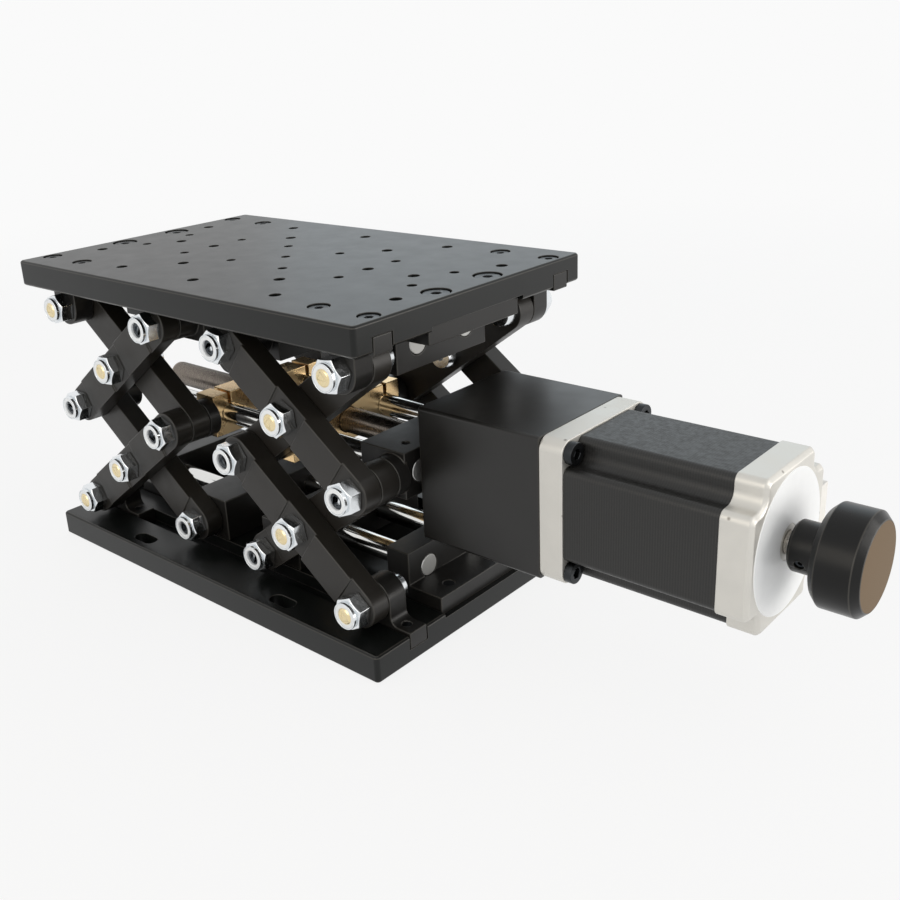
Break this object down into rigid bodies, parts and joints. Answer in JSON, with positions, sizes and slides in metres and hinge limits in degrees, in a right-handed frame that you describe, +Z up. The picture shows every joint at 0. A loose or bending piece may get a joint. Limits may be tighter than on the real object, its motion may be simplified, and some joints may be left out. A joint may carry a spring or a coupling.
{
  "type": "motorized lab jack",
  "caption": "Motor driven scissor lift table for an optical bench: two plates on crossed links, opened by a lead screw with brass carriages and a hand knob.",
  "frame": {"origin": "centre of the base plate's underside", "axes": "+X along the plates towards the motor and knob, +Y across them, +Z up"},
  "size_m": [0.383, 0.14, 0.1443],
  "materials": {
    "plate_anodised": "black anodised, satin",
    "link_anodised": "black anodised, satin",
    "block_anodised": "black anodised, satin",
    "housing_anodised": "black anodised, satin",
    "knob_anodised": "black anodised, turned",
    "rod_chrome": "ground and plated",
    "shaft_steel": "turned",
    "zinc_steel": "bright zinc plated",
    "black_screw_steel": "black oxide",
    "carriage_brass": "milled",
    "stator_black": "black laminated steel",
    "bell_cast": "blasted casting",
    "connector_plastic": "moulded"
  },
  "bodies": {
    "base": {"base_plate": "plate_anodised", "base_hinge_brackets": "block_anodised", "base_guide_rods": "rod_chrome", "base_rod_block_left": "block_anodised", "base_rod_block_right": "block_anodised", "base_pivot_bolts": "zinc_steel", "base_plate_screws": "black_screw_steel"},
    "middle_frame": {"middle_block_left": "block_anodised", "middle_block_right": "block_anodised", "middle_guide_rods": "rod_chrome", "middle_pivot_studs": "zinc_steel", "motor_housing": "housing_anodised", "motor_front_bell": "bell_cast", "motor_stator": "stator_black", "motor_rear_bell": "bell_cast", "motor_flange_screws": "black_screw_steel", "motor_connector": "connector_plastic"},
    "drive_shaft": {"lead_screw": "shaft_steel", "shaft_coupling": "shaft_steel", "motor_rotor": "shaft_steel", "knob": "knob_anodised"},
    "top": {"top_plate": "plate_anodised", "top_hinge_brackets": "block_anodised", "top_guide_rods": "rod_chrome", "top_rod_block_left": "block_anodised", "top_rod_block_right": "block_anodised", "top_pivot_bolts": "zinc_steel", "top_plate_screws": "black_screw_steel"},
    "lower_right_front_links": {"lower_right_front_link_near": "link_anodised", "lower_right_front_link_far": "link_anodised", "lower_right_crossing_bolts": "zinc_steel"},
    "lower_right_rear_links": {"lower_right_rear_link_near": "link_anodised", "lower_right_rear_link_far": "link_anodised"},
    "upper_right_front_links": {"upper_right_front_link_near": "link_anodised", "upper_right_front_link_far": "link_anodised", "upper_right_crossing_bolts": "zinc_steel"},
    "upper_right_rear_links": {"upper_right_rear_link_near": "link_anodised", "upper_right_rear_link_far": "link_anodised"},
    "right_base_slider": {"right_base_slider": "block_anodised", "right_base_slider_studs": "zinc_steel"},
    "right_carriage": {"right_carriage": "carriage_brass", "right_carriage_studs": "zinc_steel"},
    "right_top_slider": {"right_top_slider": "block_anodised", "right_top_slider_studs": "zinc_steel"},
    "lower_left_front_links": {"lower_left_front_link_near": "link_anodised", "lower_left_front_link_far": "link_anodised", "lower_left_crossing_bolts": "zinc_steel"},
    "lower_left_rear_links": {"lower_left_rear_link_near": "link_anodised", "lower_left_rear_link_far": "link_anodised"},
    "upper_left_front_links": {"upper_left_front_link_near": "link_anodised", "upper_left_front_link_far": "link_anodised", "upper_left_crossing_bolts": "zinc_steel"},
    "upper_left_rear_links": {"upper_left_rear_link_near": "link_anodised", "upper_left_rear_link_far": "link_anodised"},
    "left_base_slider": {"left_base_slider": "block_anodised", "left_base_slider_studs": "zinc_steel"},
    "left_carriage": {"left_carriage": "carriage_brass", "left_carriage_studs": "zinc_steel"},
    "left_top_slider": {"left_top_slider": "block_anodised", "left_top_slider_studs": "zinc_steel"}
  },
  "joints": [
    {"name": "platform_lift", "type": "hinge", "parent": "base", "child": "lower_right_front_links", "pos_m": [0.0933, 0, 0.0224], "axis": [0, 1, 0], "range_deg": [-16.1, 8.9]},
    {"name": "lower_right_crossing", "type": "hinge", "parent": "lower_right_front_links", "child": "lower_right_rear_links", "pos_m": [0.0592, 0, 0.04726], "axis": [0, 1, 0], "range_deg": [-17.85, 32.25]},
    {"name": "middle_frame_hinge", "type": "hinge", "parent": "lower_right_rear_links", "child": "middle_frame", "pos_m": [0.0933, 0, 0.07213], "axis": [0, 1, 0], "range_deg": [-16.1, 8.9]},
    {"name": "upper_right_middle_hinge", "type": "hinge", "parent": "middle_frame", "child": "upper_right_front_links", "pos_m": [0.0933, 0, 0.07213], "axis": [0, 1, 0], "range_deg": [-16.1, 8.9]},
    {"name": "upper_right_crossing", "type": "hinge", "parent": "upper_right_front_links", "child": "upper_right_rear_links", "pos_m": [0.0592, 0, 0.09699], "axis": [0, 1, 0], "range_deg": [-17.85, 32.25]},
    {"name": "top_plate_hinge", "type": "hinge", "parent": "upper_right_rear_links", "child": "top", "pos_m": [0.0933, 0, 0.12186], "axis": [0, 1, 0], "range_deg": [-16.1, 8.9]},
    {"name": "right_carriage_hinge", "type": "hinge", "parent": "lower_right_front_links", "child": "right_carriage", "pos_m": [0.02511, 0, 0.07213], "axis": [0, 1, 0], "range_deg": [-8.95, 16.15]},
    {"name": "right_base_slider_hinge", "type": "hinge", "parent": "lower_right_rear_links", "child": "right_base_slider", "pos_m": [0.02511, 0, 0.0224], "axis": [0, 1, 0], "range_deg": [-16.1, 8.9]},
    {"name": "right_top_slider_hinge", "type": "hinge", "parent": "upper_right_front_links", "child": "right_top_slider", "pos_m": [0.02511, 0, 0.12186], "axis": [0, 1, 0], "range_deg": [-8.95, 16.15]},
    {"name": "lower_left_base_hinge", "type": "hinge", "parent": "base", "child": "lower_left_front_links", "pos_m": [-0.0933, 0, 0.0224], "axis": [0, 1, 0], "range_deg": [-8.95, 16.15]},
    {"name": "lower_left_crossing", "type": "hinge", "parent": "lower_left_front_links", "child": "lower_left_rear_links", "pos_m": [-0.0592, 0, 0.04726], "axis": [0, 1, 0], "range_deg": [-32.25, 17.85]},
    {"name": "upper_left_middle_hinge", "type": "hinge", "parent": "middle_frame", "child": "upper_left_front_links", "pos_m": [-0.0933, 0, 0.07213], "axis": [0, 1, 0], "range_deg": [-8.95, 16.15]},
    {"name": "upper_left_crossing", "type": "hinge", "parent": "upper_left_front_links", "child": "upper_left_rear_links", "pos_m": [-0.0592, 0, 0.09699], "axis": [0, 1, 0], "range_deg": [-32.25, 17.85]},
    {"name": "left_carriage_hinge", "type": "hinge", "parent": "lower_left_front_links", "child": "left_carriage", "pos_m": [-0.02511, 0, 0.07213], "axis": [0, 1, 0], "range_deg": [-16.1, 8.9]},
    {"name": "left_base_slider_hinge", "type": "hinge", "parent": "lower_left_rear_links", "child": "left_base_slider", "pos_m": [-0.02511, 0, 0.0224], "axis": [0, 1, 0], "range_deg": [-8.95, 16.15]},
    {"name": "left_top_slider_hinge", "type": "hinge", "parent": "upper_left_front_links", "child": "left_top_slider", "pos_m": [-0.02511, 0, 0.12186], "axis": [0, 1, 0], "range_deg": [-16.1, 8.9]},
    {"name": "knob_turn", "type": "hinge", "parent": "middle_frame", "child": "drive_shaft", "pos_m": [0, 0, 0.07213], "axis": [1, 0, 0], "range_deg": [-1132, 628]}
  ],
  "couplings": [
    {"joint": "lower_right_crossing", "follows": "platform_lift", "ratio": -2},
    {"joint": "middle_frame_hinge", "follows": "platform_lift", "ratio": 1},
    {"joint": "upper_right_middle_hinge", "follows": "platform_lift", "ratio": 1},
    {"joint": "upper_right_crossing", "follows": "platform_lift", "ratio": -2},
    {"joint": "top_plate_hinge", "follows": "platform_lift", "ratio": 1},
    {"joint": "right_carriage_hinge", "follows": "platform_lift", "ratio": -1},
    {"joint": "right_base_slider_hinge", "follows": "platform_lift", "ratio": 1},
    {"joint": "right_top_slider_hinge", "follows": "platform_lift", "ratio": -1},
    {"joint": "lower_left_base_hinge", "follows": "platform_lift", "ratio": -1},
    {"joint": "lower_left_crossing", "follows": "platform_lift", "ratio": 2},
    {"joint": "upper_left_middle_hinge", "follows": "platform_lift", "ratio": -1},
    {"joint": "upper_left_crossing", "follows": "platform_lift", "ratio": 2},
    {"joint": "left_carriage_hinge", "follows": "platform_lift", "ratio": 1},
    {"joint": "left_base_slider_hinge", "follows": "platform_lift", "ratio": -1},
    {"joint": "left_top_slider_hinge", "follows": "platform_lift", "ratio": 1},
    {"joint": "knob_turn", "follows": "platform_lift", "ratio": 70}
  ]
}
